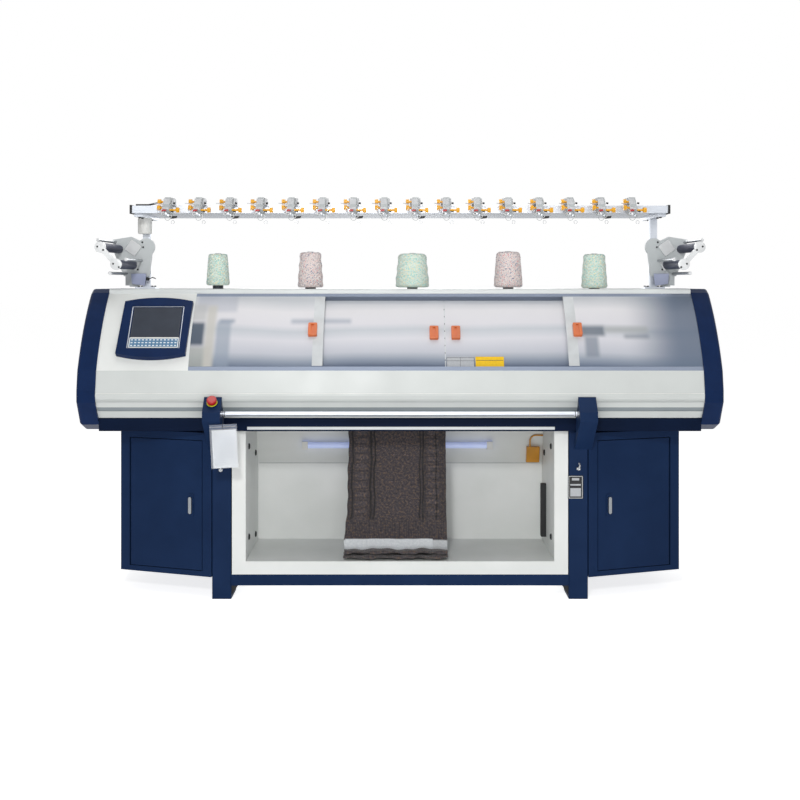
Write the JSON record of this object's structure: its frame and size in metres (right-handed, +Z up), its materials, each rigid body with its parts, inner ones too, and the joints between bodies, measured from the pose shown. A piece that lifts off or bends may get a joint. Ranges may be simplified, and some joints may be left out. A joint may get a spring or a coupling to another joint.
{
  "type": "flat knitting machine",
  "caption": "Flat knitting machine: V needle beds and cam carriage under sliding frosted covers, fabric bin below, yarn rail above.",
  "frame": {"origin": "on the floor, at the middle of the machine's width and depth", "axes": "+X along the needle beds to the operator's right, +Y from the front to the back, +Z up"},
  "size_m": [2.64, 0.9, 1.676],
  "materials": {
    "navy": "semi-gloss navy enamel",
    "navy_beam": "dark navy enamel",
    "navy_moulding": "gloss navy moulding",
    "white_panel": "satin white enamel",
    "frosted": "frosted acrylic",
    "orange": "moulded orange",
    "aluminium": "anodised",
    "screen": "dark display glass",
    "keypad": "steel-blue foil",
    "steel": "ground steel",
    "carriage": "dark enamel",
    "carrier": "light grey",
    "black_plastic": "matt black",
    "motor": "black enamel",
    "module": "grey modules",
    "roller_rubber": "dark rubber",
    "feeder": "pale grey enamel",
    "signal": "cream",
    "unit_grey": "grey moulding",
    "knob_yellow": "yellow moulding",
    "stop_red": "red moulding",
    "sensor_orange": "amber moulding",
    "light": "opal tube",
    "sleeve": "clear film over paper",
    "yarn": "wound yarn",
    "knit": "ribbed knit",
    "cable": "black sheath"
  },
  "bodies": {
    "root": {"base_frame": "navy", "bed_beam": "navy_beam", "bed_frame": "steel", "brackets": "navy", "console_bezel": "navy_moulding", "console_keypad": "keypad", "console_panel": "white_panel", "console_screen": "screen", "cover_tracks": "aluminium", "document_sleeve": "sleeve", "drive_belt": "black_plastic", "drive_motor": "motor", "electronics": "module", "fabric_bin": "white_panel", "fabric_sensor": "sensor_orange", "front_fascia": "white_panel", "front_needle_bed": "steel", "grip_bar": "black_plastic", "knit_fabric": "knit", "left_cabinet": "navy", "left_end_cap": "navy_moulding", "left_feeder": "feeder", "light_tube": "light", "rail_cable": "cable", "rail_end_caps": "black_plastic", "rail_posts": "aluminium", "rear_cover": "white_panel", "rear_needle_bed": "steel", "right_cabinet": "navy", "right_end_cap": "navy_moulding", "right_feeder": "feeder", "signal_box": "signal", "tension_knobs": "knob_yellow", "tension_units": "unit_grey", "top_lid": "white_panel", "top_rail": "aluminium", "yarn_cones": "yarn", "yarn_rails": "aluminium"},
    "cover_left_body": {"cover_left": "frosted", "handle_left": "orange"},
    "cover_middle_left_body": {"cover_middle_left": "frosted", "handle_middle_left": "orange"},
    "cover_middle_right_body": {"cover_middle_right": "frosted", "handle_middle_right": "orange"},
    "cover_right_body": {"cover_right": "frosted", "handle_right": "orange"},
    "carriage_body": {"carriage": "carriage"},
    "yarn_carrier_body": {"yarn_carriers": "carrier"},
    "left_door_body": {"left_door": "navy"},
    "right_door_body": {"right_door": "navy"},
    "left_lock_body": {"left_lock": "steel"},
    "right_lock_body": {"right_lock": "steel"},
    "stop_button_body": {"stop_button": "stop_red"},
    "operating_bar_body": {"operating_bar": "aluminium"},
    "take_down_roller_body": {"take_down_roller": "roller_rubber"},
    "press_roller_body": {"press_roller": "roller_rubber"},
    "left_upper_roller_body": {"left_upper_roller": "roller_rubber"},
    "left_lower_roller_body": {"left_lower_roller": "roller_rubber"},
    "right_upper_roller_body": {"right_upper_roller": "roller_rubber"},
    "right_lower_roller_body": {"right_lower_roller": "roller_rubber"}
  },
  "joints": [
    {"name": "cover_left_slide", "type": "slide", "parent": "root", "child": "cover_left_body", "axis": [1, 0, 0], "range_m": [0, 0.5]},
    {"name": "cover_middle_left_slide", "type": "slide", "parent": "root", "child": "cover_middle_left_body", "axis": [-1, 0, 0], "range_m": [0, 0.5]},
    {"name": "cover_middle_right_slide", "type": "slide", "parent": "root", "child": "cover_middle_right_body", "axis": [1, 0, 0], "range_m": [0, 0.5]},
    {"name": "cover_right_slide", "type": "slide", "parent": "root", "child": "cover_right_body", "axis": [-1, 0, 0], "range_m": [0, 0.5]},
    {"name": "carriage_slide", "type": "slide", "parent": "root", "child": "carriage_body", "axis": [1, 0, 0], "range_m": [-0.62, 1.34]},
    {"name": "yarn_carrier_slide", "type": "slide", "parent": "root", "child": "yarn_carrier_body", "axis": [1, 0, 0], "range_m": [-0.9, 1.1]},
    {"name": "left_door_hinge", "type": "hinge", "parent": "root", "child": "left_door_body", "pos_m": [-1.1361, -0.1546, 0.384], "axis": [0, 0, -1], "range_deg": [0, 100]},
    {"name": "left_lock_turn", "type": "hinge", "parent": "left_door_body", "child": "left_lock_body", "pos_m": [-0.87152, -0.25819, 0.384], "axis": [-0.3349, -0.9423, 0], "range_deg": [0, 90]},
    {"name": "right_door_hinge", "type": "hinge", "parent": "root", "child": "right_door_body", "pos_m": [1.1361, -0.1546, 0.384], "axis": [0, 0, 1], "range_deg": [0, 100]},
    {"name": "right_lock_turn", "type": "hinge", "parent": "right_door_body", "child": "right_lock_body", "pos_m": [0.87152, -0.25819, 0.384], "axis": [-0.3349, 0.9423, 0], "range_deg": [0, 90]},
    {"name": "stop_press", "type": "slide", "parent": "root", "child": "stop_button_body", "axis": [0, 0.7071, -0.7071], "range_m": [0, 0.005], "stiffness_N_per_m": 1500},
    {"name": "operating_bar_turn", "type": "hinge", "parent": "root", "child": "operating_bar_body", "pos_m": [0, -0.416, 0.781], "axis": [1, 0, 0], "range_deg": [-20, 20]},
    {"name": "take_down_turn", "type": "hinge", "parent": "root", "child": "take_down_roller_body", "pos_m": [0, -0.076, 0.85], "axis": [1, 0, 0], "continuous": true},
    {"name": "press_roller_turn", "type": "hinge", "parent": "root", "child": "press_roller_body", "pos_m": [0, -0.132, 0.85], "axis": [1, 0, 0], "continuous": true},
    {"name": "left_upper_turn", "type": "hinge", "parent": "root", "child": "left_upper_roller_body", "pos_m": [-1.256, -0.09, 1.461], "axis": [0, 1, 0], "continuous": true},
    {"name": "left_lower_turn", "type": "hinge", "parent": "root", "child": "left_lower_roller_body", "pos_m": [-1.19, -0.09, 1.389], "axis": [0, 1, 0], "continuous": true},
    {"name": "right_upper_turn", "type": "hinge", "parent": "root", "child": "right_upper_roller_body", "pos_m": [1.256, -0.09, 1.461], "axis": [0, 1, 0], "continuous": true},
    {"name": "right_lower_turn", "type": "hinge", "parent": "root", "child": "right_lower_roller_body", "pos_m": [1.19, -0.09, 1.389], "axis": [0, 1, 0], "continuous": true}
  ],
  "couplings": [
    {"joint": "press_roller_turn", "follows": "take_down_turn", "ratio": -1.6667},
    {"joint": "left_lower_turn", "follows": "left_upper_turn", "ratio": 1},
    {"joint": "right_lower_turn", "follows": "right_upper_turn", "ratio": 1}
  ]
}
